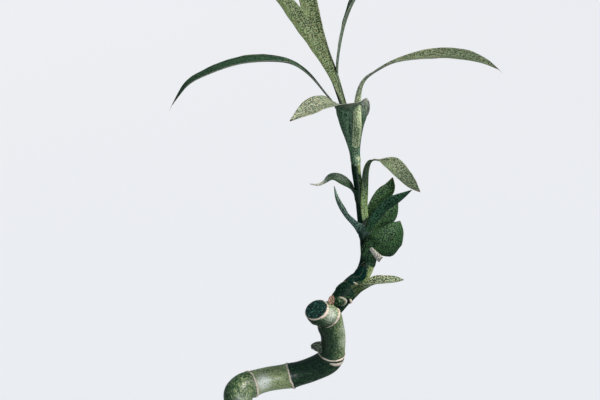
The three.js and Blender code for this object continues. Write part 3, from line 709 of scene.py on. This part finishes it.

# A leaf clasps the stem between two heights, on one side (0 right, 90 back, 180 left, -90 front, in
# degrees) and so many degrees round it. Then its blade runs through: x, y, z, width, roll in degrees,
# and where its upper face looks. Then how much it is slanted, painted with shade, and pale grey on one
# half, at a share of its length.
leaves = {
    "foot_scale": {"clasp": (194, 200, -125, 190), "look": "deep", "blade": [
        (47.6, -15.2, 204.6, 9, 115, 0.1, 1, 0), (49.5, -14.6, 208.4, 5, 80, 0.1, 1, 0),
        (50, -14, 210.8, 0.8, 60, 0.1, 1, 0)]},
    "leaf_stub": {"clasp": (191, 197, -20, 130), "look": "stub", "stalk": 0.42, "blade": [
        (55, -14.6, 200.6, 10, 90, -0.3, -0.3, 1), (61, -15.7, 202, 8, 70, -0.1, -0.55, 1),
        (66.8, -16, 202.4, 6.4, 60, 0, -0.55, 1), (71.4, -16, 202.8, 1, 60, 0, -0.5, 1)]},
    "leaf_round": {"clasp": (209, 212, -48, 140), "look": "dark", "blade": [
        (56.4, -13.6, 216.4, 18.4, 115, -0.4, 0.9, 0.2), (60.6, -15.8, 219.9, 22.5, 80, -0.35, 0.9, 0.15),
        (63.4, -17, 223.7, 20.6, 65, -0.35, 0.9, 0.1), (65.9, -17.2, 227.6, 15.6, 55, -0.35, 0.9, 0.1),
        (67.8, -16.6, 231.4, 9.6, 45, -0.3, 0.9, 0), (69.4, -16, 234.8, 0.6, 40, -0.3, 0.9, 0)]},
    "papery_scale": {"look": "paper", "blade": [
        (51.2, -13.4, 222.8, 0.5, 40, 0.3, 0.9, 0.3), (53.6, -15.3, 219.6, 2.3, 50, 0.3, 0.9, 0.3),
        (56.4, -17, 216.3, 3.7, 50, 0.3, 0.9, 0.3), (58.9, -18.2, 213.9, 4.2, 40, 0.3, 0.9, 0.3)]},
    "leaf_hidden": {"clasp": (219, 223, 25, 90), "look": "dark", "blade": [
        (58.3, -3.5, 229.4, 13.2, 70, -0.5, 0.8, 0.4), (64.6, -3, 235.8, 14.5, 60, -0.4, 0.8, 0.4),
        (69.2, -2.5, 243.3, 0.6, 40, -0.4, 0.8, 0.4)]},
    "leaf_dark": {"clasp": (223, 228, -30, 100), "look": "dusk", "blade": [
        (57.4, -9.8, 236, 9, 100, -0.5, 0.8, 0.5), (62.8, -11, 241.8, 10, 80, -0.5, 0.75, 0.5),
        (69.4, -12, 246.2, 8.8, 70, -0.4, 0.6, 0.6), (75.9, -13, 251.3, 0.6, 60, -0.4, 0.5, 0.7)]},
    "leaf_pointed": {"clasp": (230, 234, 15, 110), "look": "dark", "blade": [
        (55.7, -3.5, 240.8, 7.6, 80, -0.5, -0.7, 0.4), (60.7, -2, 247, 9.8, 50, -0.4, -0.9, 0.3),
        (64.5, -1, 251.6, 7.6, 40, -0.3, -0.9, 0.3), (66.3, 0, 257.4, 0.6, 30, -0.3, -0.9, 0.3)]},
    "leaf_folded": {"clasp": (223, 228, -112, 110), "look": "teal", "blade": [
        (43.6, -11.3, 232.8, 7.5, 130, 0.6, 0.4, 0.7), (38.3, -12, 239.6, 8, 130, 0.8, -0.1, 0.5),
        (35.1, -12, 246.3, 5.5, 110, 0.9, -0.2, 0.4), (33.9, -12, 253.4, 0.6, 80, 0.9, -0.2, 0.3)]},
    "leaf_curly": {"clasp": (242, 249, -160, 130), "look": "mid", "dry": 0.62, "blade": [
        (42.2, -6.8, 252.6, 8.2, 90, 0.4, -0.4, 0.8), (37.8, -8, 255.8, 9, 60, 0.1, -0.6, 0.8),
        (32.8, -9, 257.4, 7.4, 60, -0.2, -0.5, 0.9), (29, -10, 255.2, 4, 70, -0.4, -0.4, 0.9),
        (25.2, -11, 253.8, 2.6, 70, 0, -0.4, 0.9), (20.8, -11.5, 254.5, 0.5, 60, 0.2, -0.4, 0.9)]},
    "leaf_pale_right": {
        "shaded": [(0.2, 0), (0.36, 0.9), (0.46, 0.75), (0.54, 0), (0.66, 0), (0.85, 0.5)],
        "clasp": (232, 240, -35, 125), "look": "pale", "stalk": 0.5, "blade": [
        (51.6, -7.9, 250, 6.2, 150, -0.6, 0.7, 0.1), (52.1, -8.6, 261, 5.6, 160, -0.6, 0.7, 0.2),
        (54, -10.5, 266.6, 4, 120, -0.4, 0.3, 0.9), (57.5, -14.4, 267.4, 2.6, 60, 0, -0.3, 1),
        (63.6, -19, 265.8, 12.4, 40, 0.3, -0.6, 0.7), (68.7, -23.5, 260.3, 12.6, 40, 0.5, -0.7, 0.5),
        (73.8, -27.5, 255.2, 9, 40, 0.5, -0.7, 0.5), (78.9, -30.5, 251.4, 0.5, 30, 0.5, -0.7, 0.5)]},
    "leaf_right": {
        "greyed": [(0.3, 0), (0.45, -0.6), (0.64, -0.6), (0.78, 0)],
        "shaded": [(0.28, 0), (0.36, 0.5), (0.46, 0.4), (0.52, 0), (0.66, 0), (0.8, 0.35), (0.9, 0.5)],
        "clasp": (262, 272, -60, 120), "look": "olive", "stalk": 0.4, "hair": 2.5, "blade": [
        (46.3, -13, 284.8, 5.8, 120, 0, 1, 0.2), (46.3, -14.8, 294.2, 5, 110, -0.1, 1, 0.2),
        (47.6, -15.4, 304.4, 3.8, 120, -0.4, 0.8, 0.4), (50.7, -15.6, 310.8, 3.6, 120, -0.5, 0.4, 0.7),
        (57.2, -16, 315.8, 3.6, 100, -0.4, -0.1, 0.9), (67, -17.2, 320.4, 5, 70, -0.2, -0.4, 0.9),
        (82, -19.8, 323, 11, 50, -0.1, -0.5, 0.9), (97, -23, 323.4, 13.4, 40, 0, -0.5, 0.9),
        (110.5, -25.5, 320.6, 9.6, 40, 0.2, -0.45, 0.9), (120.4, -27, 316, 0.5, 40, 0.3, -0.4, 0.9)]},
    "leaf_funnel": {
        "slant": [(0.36, 0), (0.5, 4), (0.62, 2), (0.8, 0)],
        "greyed": [(0.36, 0), (0.44, 0.8), (0.5, 1), (0.58, 0.9), (0.66, 0)],
        "clasp": (262, 271, -95, 200), "look": "funnel", "stalk": 0.52, "blade": [
        (43.6, -9.6, 284.2, 16.5, 140, 0.05, 1, 0.2), (43.6, -11.6, 291, 20, 110, 0, 1, 0.4),
        (43.2, -13.2, 294.8, 21.5, 88, 0.05, 0.8, 0.8), (36.6, -19, 298, 16, 55, 0.1, -0.1, 1),
        (27, -28, 298, 12.5, 30, 0.2, -0.5, 0.9), (19.6, -35, 295, 10, 30, 0.2, -0.6, 0.8),
        (10.2, -42, 289, 0.6, 30, 0.1, -0.7, 0.7)]},
    "leaf_long_left": {
        "greyed": [(0.15, 0), (0.3, 0.5), (0.6, 0.5), (0.8, 0.9), (0.95, 0.3)],
        "clasp": (277, 283, 180, 120), "look": "shade", "hair": 3, "blade": [
        (34.4, -2.5, 296.3, 3.6, 110, 0.8, 0, 0.6), (29.2, -2.8, 303.2, 3.2, 90, 0.75, -0.1, 0.7),
        (19.7, -4.5, 313.9, 4.6, 80, 0.6, -0.3, 0.8), (10, -7, 319.8, 7.4, 60, 0.3, -0.34, 1),
        (-3.5, -11, 321.2, 12, 50, 0, -0.38, 1), (-18, -14.5, 319.6, 12.4, 45, -0.2, -0.38, 1),
        (-33, -17, 314.5, 11, 40, -0.3, -0.38, 1), (-44.5, -18.5, 308.2, 7.4, 40, -0.6, -0.4, 0.8),
        (-53, -19, 297.2, 0.5, 40, -0.8, -0.35, 0.5)]},
    "leaf_back_up": {"clasp": (281, 288, 115, 130), "look": "high", "crease": 0.16, "blade": [
        (37.6, 3.6, 301, 5, 100, 0.4, -1, 0.3), (33.2, 5.6, 314, 6.4, 70, 0.5, -0.9, 0.2),
        (26.2, 7.6, 329, 9.8, 50, 0.5, -0.9, 0.2), (20.4, 9, 347, 12.4, 45, 0.5, -0.9, 0.2),
        (16.4, 8.4, 370, 12, 45, 0.5, -0.8, 0.2), (13.2, 4.5, 394, 8, 40, 0.5, -0.8, 0),
        (10.6, -1, 411, 0.6, 40, 0.5, -0.8, -0.2)]},
    "leaf_narrow_up": {
        "shaded": [(0.2, 0), (0.3, 0.3), (0.48, 0.25), (0.6, 0)],
        "clasp": (282, 288, 35, 120), "look": "narrow", "blade": [
        (38.2, 2.4, 300.5, 5.4, 110, -1, -0.2, 0.1), (36.2, 3.8, 312, 5, 80, -1, -0.1, 0),
        (36.9, 5, 326, 7.5, 60, -1, 0, 0), (40.9, 8.5, 344.5, 10, 50, -1, -0.05, 0.3),
        (48.5, 13.5, 359.6, 11, 45, -0.7, -0.2, 0.7), (61.5, 21.5, 370.6, 11, 45, -0.2, -0.2, 1),
        (76, 28.5, 371.5, 8, 45, 0.2, -0.2, 1), (88, 33, 364.3, 0.6, 45, 0.6, -0.2, 0.8)]},
    "leaf_broad_up": {"clasp": (285, 290, -150, 130), "look": "broad", "blade": [
        (36.2, -3, 302.6, 6, 110, 0.8, -0.4, 0.3), (31.5, -2.5, 314, 8.8, 80, 0.75, -0.55, 0.4),
        (22.8, -1.5, 329.6, 13.2, 55, 0.6, -0.65, 0.5), (12.2, -0.5, 345.2, 14.8, 45, 0.55, -0.6, 0.55),
        (0.1, -1.5, 360.4, 12, 45, 0.5, -0.6, 0.6), (-11.6, -4.5, 375.8, 0.6, 40, 0.4, -0.6, 0.7)]},
    "foot_husk": {"look": "scale", "loose": True, "blade": [
        (31.9, -24.8, 190.4, 2.2, 40, -0.1, -1, 0.1), (32, -24.6, 192, 3.4, 50, -0.1, -1, 0.1),
        (32.4, -23.6, 193.8, 3, 50, -0.1, -1, 0.2), (33.2, -22.6, 195.4, 0.6, 40, -0.1, -1, 0.3)]},
    "ring_scale": {"look": "tooth", "blade": [
        (27.5, -11.6, 165.4, 7, 60, -0.1, -1, 0.1), (24.6, -11.2, 165.6, 5.6, 60, -0.1, -1, 0.1),
        (22.8, -10.8, 165.5, 3.8, 50, -0.1, -1, 0.1), (21.4, -10.5, 165.2, 2, 40, -0.1, -1, 0.1)]},
}

# how a leaf looks: its slot, its gloss, the dark and light flecks of its upper face, its underside,
# its margins, and the dark and light flecks of its stalk
looks = {
    "deep": ("dark_leaf", 0.05, "#021715 #143831 #021715 #7f8d78 #021715 #143831"),
    "stub": ("pale_leaf", 0.3, "#2f432c #c4ceac #3c5034 #b3ba96 #11241a #5c7041"),
    "dark": ("dark_leaf", 0.25, "#031a14 #51784a #071f17 #4c6843 #031914 #2d5038"),
    "dusk": ("dark_leaf", 0.15, "#02150f #3f6a50 #06190f #668a66 #02150f #3a5f40"),
    "teal": ("leaf", 0.3, "#06201d #8bae9f #0b2823 #9ab3a4 #061f1b #26463c"),
    "mid": ("leaf", 0.3, "#07201a #476549 #0b261e #566a53 #061c18 #27402f"),
    "pale": ("pale_leaf", 0.3, "#2a3924 #9da988 #364530 #8a9576 #24472a #b4cd8c"),
    "olive": ("leaf", 0.3, "#283623 #a8b48f #3b482f #a5ad93 #506a44 #e2eec4"),
    "funnel": ("pale_leaf", 0.3, "#434f3c #b4bca0 #5d6950 #bfc6b2 #0b2a20 #7a9c7c"),
    "shade": ("leaf", 0.3, "#031b18 #426245 #173026 #66755e #08241e #4c6a55"),
    "broad": ("leaf", 0.1, "#1d2c1a #84946b #37472a #66755a #283b2a #98a587"),
    "high": ("leaf", 0.1, "#26351f #97a67b #3f5030 #66765a #1f3320 #8c9b74"),
    "narrow": ("leaf", 0.3, "#22362b #9aa792 #31453a #84927f #10281e #648068"),
    "paper": ("papery", 0.1, "#857a6e #f2ece2 #a89d90 #f2ece2 #857a6e #f2ece2"),
    "scale": ("papery", 0.3, "#4c3a30 #b8917f #8a6b5c #d9c8bc #3d4f3c #a98f80"),
    "tooth": ("papery", 0.3, "#16241d #75816f #16241d #cdb5a8 #16241d #75816f"),
}


def leafRows(leaf):
    # a leaf that clasps the stem begins with three rows on it
    rows = []
    if "clasp" in leaf:
        low, high, side, wrap = leaf["clasp"]
        for height, lift in zip((low, (low + high) / 2, high), leafForm["lifts"]):
            k = next(i for i, point in enumerate(shootWalk) if point.z >= height)
            tangent = shootFrames[k][0]
            across = square(Vector((1, 0, 0)), tangent)
            out = around(Vector(), across, tangent.cross(across), math.radians(side), 1)
            radius = pick(shoot["radii"], height) + lift
            rows.append([*(shootWalk[k] + out * radius), radius * math.radians(wrap), wrap, *(-out)])
    return rows + leaf["blade"]


def throughRows(rows, share):
    # a place on a smooth line through the rows
    last = len(rows) - 1
    k = min(int(share * last), last - 1)
    t = share * last - k
    near = [rows[min(max(i, 0), last)] for i in (k - 1, k, k + 1, k + 2)]
    return [b + 0.5 * t * (c - a + (2 * a - 5 * b + 4 * c - d) * t + (3 * b - a - 3 * c + d) * t * t)
            for a, b, c, d in zip(*near)]


def growLeaf(name, leaf):
    path = leafRows(leaf)
    guess = lengthsAlong([Vector(row[:3]) for row in path])[-1]
    steps = max(leafForm["fewest"], round(guess / leafForm["step"]))
    stations = [throughRows(path, i / steps) for i in range(steps + 1)]
    middles = [Vector(station[:3]) for station in stations]
    ahead = directions(middles)
    walked = lengthsAlong(middles)
    across = leafForm["across"]
    # round the leaf: along its underside, then back along its upper face
    order = [(-1, k) for k in range(across + 1)] + [(1, k) for k in range(across, -1, -1)]
    seed = sum(ord(letter) for letter in name) * 0.37
    crease = leaf.get("crease", leafForm["crease"])
    stalkEnd, dryStart = leaf.get("stalk", leafForm["stalk"]), leaf.get("dry", 2.0)
    rings, rows = [], []
    for i, station in enumerate(stations):
        upper = square(Vector(station[5:8]), ahead[i])
        sideways = upper.cross(ahead[i])
        width = max(station[3], 0.3)
        roll = math.radians(max(station[4], 12))
        radius = width / roll
        centre = middles[i] + upper * radius
        along = walked[i] / walked[-1]
        free, stalk = 0.3, 0.0
        if "clasp" in leaf:
            free, stalk = smooth(0.25, 0.5, along), 1 - smooth(stalkEnd - 0.1, stalkEnd + 0.06, along)
        slant, shaded, greyed = (pick(leaf.get(key, [(0, 0), (1, 0)]), along)
                                  for key in ("slant", "shaded", "greyed"))
        dry = smooth(dryStart, dryStart + 0.25, along)
        rings.append([])
        for face, k in order:
            u = 2 * k / across - 1
            half = 0.5 * leafForm["thickness"] * (1 - 0.6 * abs(u) ** 3) * min(1, 0.45 + width / 6)
            lift = crease * width * (abs(u) - 0.5) * free
            lift += 0.055 * width * free * u * u * rough(walked[i] * 0.11, seed, 3 * (u > 0))
            edge = 0.03 * width * free * abs(u) ** 3 * rough(walked[i] * 0.35, seed, 9 * u)
            angle = roll * (k / across - 0.5) * (1 + edge / max(width, 1))
            rib = leafForm["rib"] * hump(u, 0, 0.09) * min(1, width / 6)
            reach = radius - lift - face * half + rib * (1 if face > 0 else 1.3)
            place = centre - upper * (reach * math.cos(angle)) + sideways * (reach * math.sin(angle))
            rings[-1].append(place - ahead[i] * slant * u)
            # one half turns pale grey towards its margin: the left one where the value is negative
            greying = abs(greyed) * smooth(0, 0.9, u * math.copysign(1, greyed))
            run, spot = (u * width / 2, walked[i], 0.6 * face), (u, along, face)
            rows.append((run, spot, (stalk, max(greying, dry), shaded)))
    sides = len(order)
    points = [point for ring in rings for point in ring]
    faces = tubeFaces(len(rings), sides)
    last = steps * sides
    for i in range(across):
        j = sides - 1 - i
        faces.append([i, j, j - 1, i + 1])
        faces.append([last + i, last + i + 1, last + j - 1, last + j])
    heap = Heap("run", "spot", "age")
    heap.add(points, faces, rows)
    if "hair" in leaf:
        parts = [k / leafForm["hairSteps"] for k in range(leafForm["hairSteps"] + 1)]
        hair = [middles[-1] + ahead[-1] * (leaf["hair"] * part - 0.6) - upward * (1.28 * part * part)
                for part in parts]
        radii = [leafForm["hairRadius"] * (1 - 0.8 * part) for part in parts]
        points, faces = roundTube(hair, followFrames(hair), radii, 8)
        heap.add(points, faces, [((0, 0, 0), (0, 1, 1), (0, 0, 0))] * len(points))
    return heap.piece(name + "_grown")


def leafFinish(look):
    _, gloss, codes = looks[look]
    dark, light, under, margin, stalkDark, stalkLight = codes.split()
    finish, shader = newFinish(look + "Skin", Specular_IOR_Level=gloss, Subsurface_Weight=0.1,
                               Subsurface_Scale=0.001)
    run = readMark(shader, "run")
    u, along, face = readParts(shader, "spot")
    stalk, dry, shaded = readParts(shader, "age")
    mottle = grain(run, 1.45, 3)
    veins = grain(stretched(run, (2.6, 0.07, 1)), 1.0, 2)
    patch = grain(run, 0.13, 2)
    fleck = spread(weighed((mottle, 2.4), (veins, 0.45), (patch, 0.25)), 1.4, 1.73)
    streak = spread(weighed((veins, 1.1), (mottle, 1.7)), 1.2, 1.6)
    skin = mixed(spread(face, -0.4, 0.4), mixed(fleck, under, light), mixed(fleck, dark, light))
    skin = mixed(stalk, skin, mixed(streak, stalkDark, stalkLight))
    # painted shade: the leaf darkened towards the shaded colour where it lies in shade
    skin = mixed(shaded, skin, leafForm["shaded"])
    side = put("Math", {0: u}, operation="ABSOLUTE").outputs[0]
    # the rib, then the margins
    for low, high, share in ((0.09, 0.03, 0.12), (0.92, 0.99, 0.35)):
        skin = mixed(times(spread(side, low, high), share), skin, margin)
    skin = mixed(dry, skin, mixed(fleck, leafForm["dryDark"], leafForm["dryLight"]))
    skin = mixed(spread(along, 0.972, 0.992), skin, leafForm["tip"])
    paint(shader, skin, Roughness=spread(mottle, 0.3, 0.7, 0.6, 0.42))
    bumped(shader, weighed((mottle, 0.7), (veins, 0.8)), 0.00012, 0.7)
    return finish


leafFinishes = {look: leafFinish(look) for look in looks}
for name, leaf in leaves.items():
    nodes = [] if "loose" in leaf else [name]
    settle(growLeaf(name, leaf), leafFinishes[leaf["look"]], looks[leaf["look"]][0], *nodes)
print("leaves done:", len(leaves))


# glass, water, pebbles and roots

glass = {"radius": 35, "height": 105, "wall": 2.5, "floor": 6, "heel": 2, "sides": 128, "tint": "#f4faf8"}
water = {"top": 75, "climb": 1.1, "into": 0.15, "tint": "#eef7f2"}


def arc(middle, radius, start, end, steps):
    angles = [math.radians(lerp(start, end, i / steps)) for i in range(steps + 1)]
    return [(middle[0] + radius * math.cos(angle), middle[1] + radius * math.sin(angle))
            for angle in angles]


def blowGlass():
    radius, height, wall, floor = glass["radius"], glass["height"], glass["wall"], glass["floor"]
    heel, lip = glass["heel"], glass["wall"] / 2
    inner = radius - wall
    profile = [(radius * 0.3, 0.0), (radius - heel - 3, 0), *arc((radius - heel, heel), heel, -90, 0, 6),
               (radius, height * 0.5), *arc((radius - lip, height - lip), lip, 0, 180, 12),
               (inner, height * 0.5), *arc((inner - heel, floor + heel), heel, 0, -90, 6),
               (inner - heel - 3, floor), (radius * 0.3, floor)]
    return makePiece("glass_vase", *closedTube(spun(profile, glass["sides"])))


def pourWater():
    inner = glass["radius"] - glass["wall"] + water["into"]
    foot = glass["floor"] - 0.2
    top = water["top"]
    meniscus = [(inner - 3.2 * (1 - k / 8), top - water["climb"] * (1 - (k / 8) ** 3))
                for k in range(8, -1, -1)]
    profile = [(4.0, foot), (inner - 2.3, foot), (inner - 2, foot + 0.05), (inner - 0.6, foot + 0.6),
               (inner - 0.05, foot + 2), (inner, foot + 2.3), (inner, top * 0.5), (inner, top - 0.2),
               *meniscus, (inner * 0.8, top - water["climb"]), (4.0, top - water["climb"])]
    return makePiece("clear_water", *closedTube(spun(profile, glass["sides"])))


def clearFinish(name, ior, colour):
    return newFinish(name, Roughness=0.0, IOR=ior, Transmission_Weight=1.0, Base_Color=colour)[0]


vase = settle(blowGlass(), clearFinish("clearGlass", 1.48, glass["tint"]), "clear_glass", "vase")
pool = settle(pourWater(), clearFinish("clearWater", 1.33, water["tint"]), "water", "water")
vase.visible_shadow = pool.visible_shadow = False

pebbles = {
    "count": 154,
    "size": (4.5, 6.4),
    "foot": 6.3,
    "top": 45.0,
    "rounds": 90,
    "sink": 0.25,  # how far they sink in a round
    "nearest": 0.93,  # how near two middles may come, as a share of both radii
    "push": 0.22,  # how hard they push apart
    "seed": 11,
    "stones": ["#6d6a63", "#8b8375", "#53514c", "#a09a8f", "#7a6a55", "#454948", "#94846b", "#b0aa9e"],
    "speck": "#3c3a36",
    "band": "#cfc8ba",
}


def packStones():
    # stones pushed apart from each other and from the cane, and pulled down inside the glass
    rng = np.random.default_rng(pebbles["seed"])
    count, near, foot, top = (pebbles[key] for key in ("count", "nearest", "foot", "top"))
    inner = glass["radius"] - glass["wall"] - 0.5
    size = rng.uniform(*pebbles["size"], count)
    angle = rng.uniform(0, 2 * math.pi, count)
    out = np.sqrt(rng.uniform(0.08, 1, count)) * (inner - size)
    place = np.stack([out * np.cos(angle), out * np.sin(angle), rng.uniform(foot, top, count)], 1)
    caneFoot = np.array(cane["route"][0][:2])
    for _ in range(pebbles["rounds"]):
        place[:, 2] -= pebbles["sink"]
        gap = place[:, None] - place[None]
        far = np.linalg.norm(gap, axis=2) + np.eye(count)
        overlap = np.clip((size[:, None] + size[None]) * near - far, 0, None) * (1 - np.eye(count))
        place += (gap / far[:, :, None] * overlap[:, :, None]).sum(1) * pebbles["push"]
        flat = place[:, :2] - caneFoot
        away = np.linalg.norm(flat, axis=1) + 1e-6
        push = np.clip(cane["radius"] + 0.6 + size * 0.85 - away, 0, None)
        place[:, :2] += flat / away[:, None] * push[:, None]
        reach = np.linalg.norm(place[:, :2], axis=1) + 1e-6
        place[:, :2] *= np.minimum(1, (inner - size * near) / reach)[:, None]
        place[:, 2] = np.clip(place[:, 2], foot + size * 0.8, top - size * 0.75)
    return place, size, rng


def pileStones():
    place, size, rng = packStones()
    ball, faces = roundBall()
    inner = glass["radius"] - glass["wall"] - 0.12
    heap = Heap("run", "stone")
    for n in range(pebbles["count"]):
        squeeze = Vector((rng.uniform(0.9, 1.12), rng.uniform(0.85, 1.05), rng.uniform(0.68, 0.9)))
        turn = Matrix.Rotation(rng.uniform(0, 6.28), 3, "X") @ Matrix.Rotation(rng.uniform(0, 6.28), 3, "Y")
        kind = rng.uniform(0, 1)
        points, rows = [], []
        for point in ball:
            worn = 1 + 0.16 * rough(*(point * 1.1 + Vector((n, 0, 0))))
            worn += 0.03 * rough(*(point * 4 + Vector((0, n, 0))))
            spot = turn @ (point * worn * size[n] * squeeze) + Vector(place[n])
            reach = math.hypot(spot.x, spot.y)
            if reach > inner:
                spot.x *= inner / reach
                spot.y *= inner / reach
            spot.z = min(max(spot.z, pebbles["foot"] - 0.2), pebbles["top"] + 0.5)
            points.append(spot)
            rows.append((point * size[n] + Vector((n * 13.0, 0, 0)), kind))
        heap.add(points, faces, rows)
    return heap.piece("river_pebbles")


def stoneFinish():
    finish, shader = newFinish("pebbleSkin", Roughness=0.4)
    run = readMark(shader, "run")
    kinds = put("ValToRGB", {0: readMark(shader, "stone", "Fac")})
    ramp, stones = kinds.color_ramp, pebbles["stones"]
    ramp.interpolation = "CONSTANT"
    while len(ramp.elements) < len(stones):
        ramp.elements.new(0.5)
    for k, element in enumerate(ramp.elements):
        element.position = k / len(stones)
        element.color = tint(stones[k])
    speck = spread(grain(run, 2.2, 4), 0.52, 0.62)
    band = spread(grain(stretched(run, (0.2, 0.7, 0.2)), 1.0, 2), 0.45, 0.6)
    skin = mixed(times(speck, 0.4), kinds.outputs[0], pebbles["speck"])
    paint(shader, mixed(times(band, 0.3), skin, pebbles["band"]))
    bumped(shader, grain(run, 3.0, 3), 0.0002, 0.4)
    return finish


settle(pileStones(), stoneFinish(), "pebble", "pebbles")
print("glass, water and pebbles done")

roots = {
    "count": 7,
    "radii": (0.85, 0.3),
    "start": (63, 52),
    "floor": 43,
    "reach": (11, 25),
    "step": 0.8,
    "sides": 10,
    "seed": 3,
    "hairs": 9,
    "hairRadii": (0.22, 0.1),
    "hairReach": (1.8, 4.2),
    "hairFloor": 43.5,
    "dark": "#8c3a1e",
    "light": "#d98a55",
}


def addRoot(heap, line, radii):
    walk, _, length = bendLine(line, roots["step"])
    middles, sizes, rows = [], [], []
    for k, point in enumerate(walk):
        share = k / (len(walk) - 1)
        radius = lerp(*radii, share) * (1 + 0.18 * rough(k * 0.5, radii[0], share * 3))
        middles.append(point + Vector([rough(k * 0.2, length, row) for row in (0, 5, 9)]) * 0.5)
        sizes.append(radius)
        rows += [(unbent(angle, radius, share * length),) for angle in turns(roots["sides"])]
    tube = roundTube(middles, followFrames(walk), sizes, roots["sides"])
    heap.add(*tube, rows + [rows[0], rows[-1]])
    return walk


def growRoots():
    rng = random.Random(roots["seed"])
    heap = Heap("run")
    for i in range(roots["count"]):
        angle = 2 * math.pi * (i + 0.5 * rng.random()) / roots["count"]
        out = Vector((math.cos(angle), math.sin(angle), 0))
        height = lerp(*roots["start"], rng.random())
        far = lerp(*roots["reach"], rng.random())
        heart = next(point for point in caneWalk if point.z >= height)
        floor = roots["floor"]
        # how far out, how high
        course = ((-0.15, height + 1), (0.25, height), (0.7, (height + floor) / 2), (1, floor))
        line = [(heart + out * lerp(cane["radius"], far, share)).to_2d().to_3d() + upward * z
                for share, z in course]
        walk = addRoot(heap, line, roots["radii"])
        for _ in range(roots["hairs"]):
            spot = walk[rng.randrange(len(walk) // 4, len(walk))]
            way = Vector((rng.uniform(-1, 1), rng.uniform(-1, 1), rng.uniform(-0.9, 0.1))).normalized()
            end = spot + way * rng.uniform(*roots["hairReach"])
            end.z = max(end.z, roots["hairFloor"])
            addRoot(heap, [spot, spot.lerp(end, 0.5) + upward * 0.3, end], roots["hairRadii"])
    return heap.piece("red_roots")


def rootFinish():
    finish, shader = newFinish("rootSkin", Roughness=0.5, Subsurface_Weight=0.1,
                               Subsurface_Scale=0.001)
    run = readMark(shader, "run")
    fleck = spread(grain(stretched(run, (1, 1, 0.4)), 1.2, 3), 0.35, 0.65)
    paint(shader, mixed(fleck, roots["dark"], roots["light"]))
    bumped(shader, fleck, 0.0001, 0.5)
    return finish


settle(growRoots(), rootFinish(), "root", "roots")
print("roots done")
